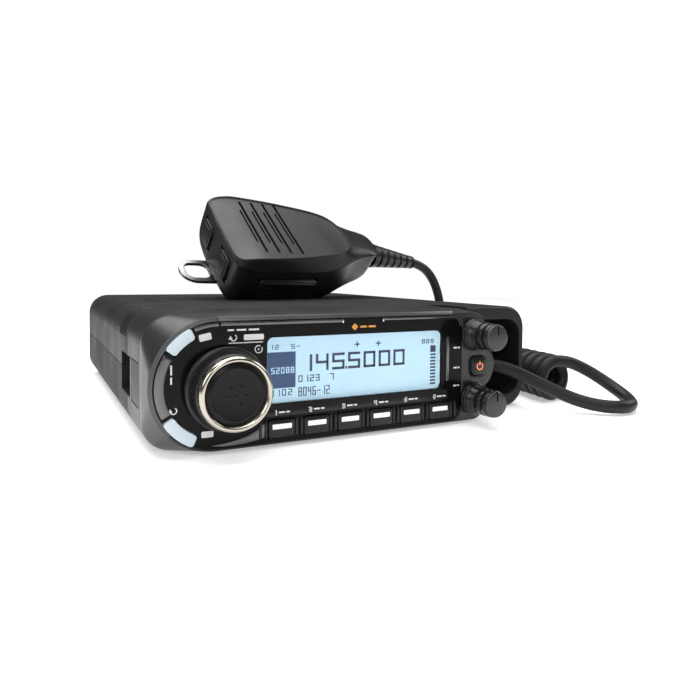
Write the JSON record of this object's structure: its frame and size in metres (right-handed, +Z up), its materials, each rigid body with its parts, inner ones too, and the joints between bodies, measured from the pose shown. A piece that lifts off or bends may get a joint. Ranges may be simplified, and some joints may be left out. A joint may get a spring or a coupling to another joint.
{
  "type": "mobile transceiver",
  "caption": "Mobile two-way radio with a detachable control head, lit display, dial, knobs and keys, and a hand microphone on a curly cord.",
  "frame": {"origin": "centre of the radio's flat underside, which rests on the surface", "axes": "+X to the radio's right as the operator sees it, +Y to the back, towards the heat sink, +Z up"},
  "size_m": [0.1892, 0.195, 0.0872],
  "materials": {
    "casting": "fine satin black coating on die-cast aluminium",
    "cover": "fine satin black coating on folded steel",
    "frame_plastic": "fine textured black moulding",
    "dark_screw": "black zinc",
    "circuit_board": "green solder resist",
    "bright_steel": "nickel plated",
    "module_black": "matt black",
    "speaker_frame": "black paint",
    "fan_plastic": "matt black",
    "plated_brass": "nickel plated brass",
    "bezel_satin": "satin dark grey",
    "panel_gloss": "high gloss black",
    "window_clear": "clear",
    "display_blue": "lit pale blue",
    "light_guide": "frosted clear",
    "mat_rubber": "matt grey",
    "knob_black": "semi-gloss black",
    "champagne_chrome": "bright plated",
    "cap_black": "satin black",
    "lit_white": "frosted, lit from behind",
    "key_black": "semi-gloss black with a lit bar",
    "latch_grey": "satin grey",
    "mic_plastic": "fine textured black moulding",
    "mic_rubber": "matt black rubber",
    "cord_rubber": "matt black jacket",
    "plug_clear": "smoky clear moulding"
  },
  "bodies": {
    "radio": {"chassis": "casting", "top_cover": "cover", "front_frame": "frame_plastic", "case_screws": "dark_screw", "main_board": "circuit_board", "board_screws": "bright_steel", "shield_can": "bright_steel", "power_module": "module_black", "speaker": "speaker_frame", "fan_frame": "module_black", "antenna_socket": "plated_brass", "supply_socket": "module_black", "speaker_jacks": "module_black", "mic_jack": "module_black", "mic_plug": "plug_clear", "cord_mic_lead": "cord_rubber", "cord_coil": "cord_rubber", "cord_plug_lead": "cord_rubber"},
    "fan": {"fan_rotor": "fan_plastic"},
    "head": {"head_bezel": "bezel_satin", "display_panel": "panel_gloss", "display_window": "window_clear", "display_module": "display_blue", "display_light": "light_guide", "head_shell": "frame_plastic", "head_board": "circuit_board", "head_screws": "bright_steel", "key_mat": "mat_rubber", "dial_encoder": "bright_steel", "volume_encoder": "bright_steel", "squelch_encoder": "bright_steel"},
    "dial": {"dial_shaft": "bright_steel", "dial_skirt": "knob_black", "dial_ring": "champagne_chrome", "dial_cap": "cap_black"},
    "volume": {"volume_shaft": "bright_steel", "volume_knob": "knob_black"},
    "squelch": {"squelch_shaft": "bright_steel", "squelch_knob": "knob_black"},
    "menu": {"menu_key": "lit_white"},
    "back": {"back_key": "lit_white"},
    "power": {"power_key": "key_black"},
    "latch": {"latch_button": "latch_grey"},
    "mic": {"mic_front_shell": "mic_plastic", "mic_back_shell": "mic_plastic", "mic_screws": "dark_screw", "mic_board": "circuit_board", "mic_element": "bright_steel", "hanger": "bright_steel", "hanger_screw": "bright_steel", "strain_relief": "cord_rubber"},
    "talk": {"talk_key": "mic_rubber"},
    "up": {"up_key": "mic_rubber"},
    "down": {"down_key": "mic_rubber"},
    "soft_1": {"key_1": "key_black"},
    "soft_2": {"key_2": "key_black"},
    "soft_3": {"key_3": "key_black"},
    "soft_4": {"key_4": "key_black"},
    "soft_5": {"key_5": "key_black"},
    "soft_6": {"key_6": "key_black"}
  },
  "joints": [
    {"name": "fan_spin", "type": "hinge", "parent": "radio", "child": "fan", "pos_m": [0, 0.0697, 0.02], "axis": [0, 1, 0], "continuous": true},
    {"name": "head_release", "type": "slide", "parent": "radio", "child": "head", "axis": [0, -1, 0], "range_m": [0, 0.035]},
    {"name": "dial_turn", "type": "hinge", "parent": "head", "child": "dial", "pos_m": [-0.053, -0.0923, 0.0192], "axis": [0, -1, 0], "continuous": true},
    {"name": "volume_turn", "type": "hinge", "parent": "head", "child": "volume", "pos_m": [0.0367, -0.0923, 0.0313], "axis": [0, -1, 0], "range_deg": [-150, 150]},
    {"name": "squelch_turn", "type": "hinge", "parent": "head", "child": "squelch", "pos_m": [0.0367, -0.0923, 0.0087], "axis": [0, -1, 0], "range_deg": [-150, 150]},
    {"name": "menu_press", "type": "slide", "parent": "head", "child": "menu", "axis": [0, 1, 0], "range_m": [0, 0.0005], "stiffness_N_per_m": 700},
    {"name": "back_press", "type": "slide", "parent": "head", "child": "back", "axis": [0, 1, 0], "range_m": [0, 0.0005], "stiffness_N_per_m": 700},
    {"name": "power_press", "type": "slide", "parent": "head", "child": "power", "axis": [0, 1, 0], "range_m": [0, 0.0006], "stiffness_N_per_m": 700},
    {"name": "latch_press", "type": "slide", "parent": "head", "child": "latch", "axis": [1, 0, 0], "range_m": [0, 0.0015], "stiffness_N_per_m": 800},
    {"name": "key_1_press", "type": "slide", "parent": "head", "child": "soft_1", "axis": [0, 1, 0], "range_m": [0, 0.0005], "stiffness_N_per_m": 700},
    {"name": "key_2_press", "type": "slide", "parent": "head", "child": "soft_2", "axis": [0, 1, 0], "range_m": [0, 0.0005], "stiffness_N_per_m": 700},
    {"name": "key_3_press", "type": "slide", "parent": "head", "child": "soft_3", "axis": [0, 1, 0], "range_m": [0, 0.0005], "stiffness_N_per_m": 700},
    {"name": "key_4_press", "type": "slide", "parent": "head", "child": "soft_4", "axis": [0, 1, 0], "range_m": [0, 0.0005], "stiffness_N_per_m": 700},
    {"name": "key_5_press", "type": "slide", "parent": "head", "child": "soft_5", "axis": [0, 1, 0], "range_m": [0, 0.0005], "stiffness_N_per_m": 700},
    {"name": "key_6_press", "type": "slide", "parent": "head", "child": "soft_6", "axis": [0, 1, 0], "range_m": [0, 0.0005], "stiffness_N_per_m": 700},
    {"name": "mic_lift", "type": "slide", "parent": "radio", "child": "mic", "axis": [0, 0, 1], "range_m": [0, 0.06]},
    {"name": "talk_press", "type": "slide", "parent": "mic", "child": "talk", "axis": [-0.0789, 0.7855, 0.6137], "range_m": [0, 0.0015], "stiffness_N_per_m": 1500},
    {"name": "up_press", "type": "slide", "parent": "mic", "child": "up", "axis": [0.9924, 0.1201, -0.026], "range_m": [0, 0.0006], "stiffness_N_per_m": 700},
    {"name": "down_press", "type": "slide", "parent": "mic", "child": "down", "axis": [0.9924, 0.1201, -0.026], "range_m": [0, 0.0006], "stiffness_N_per_m": 700}
  ]
}
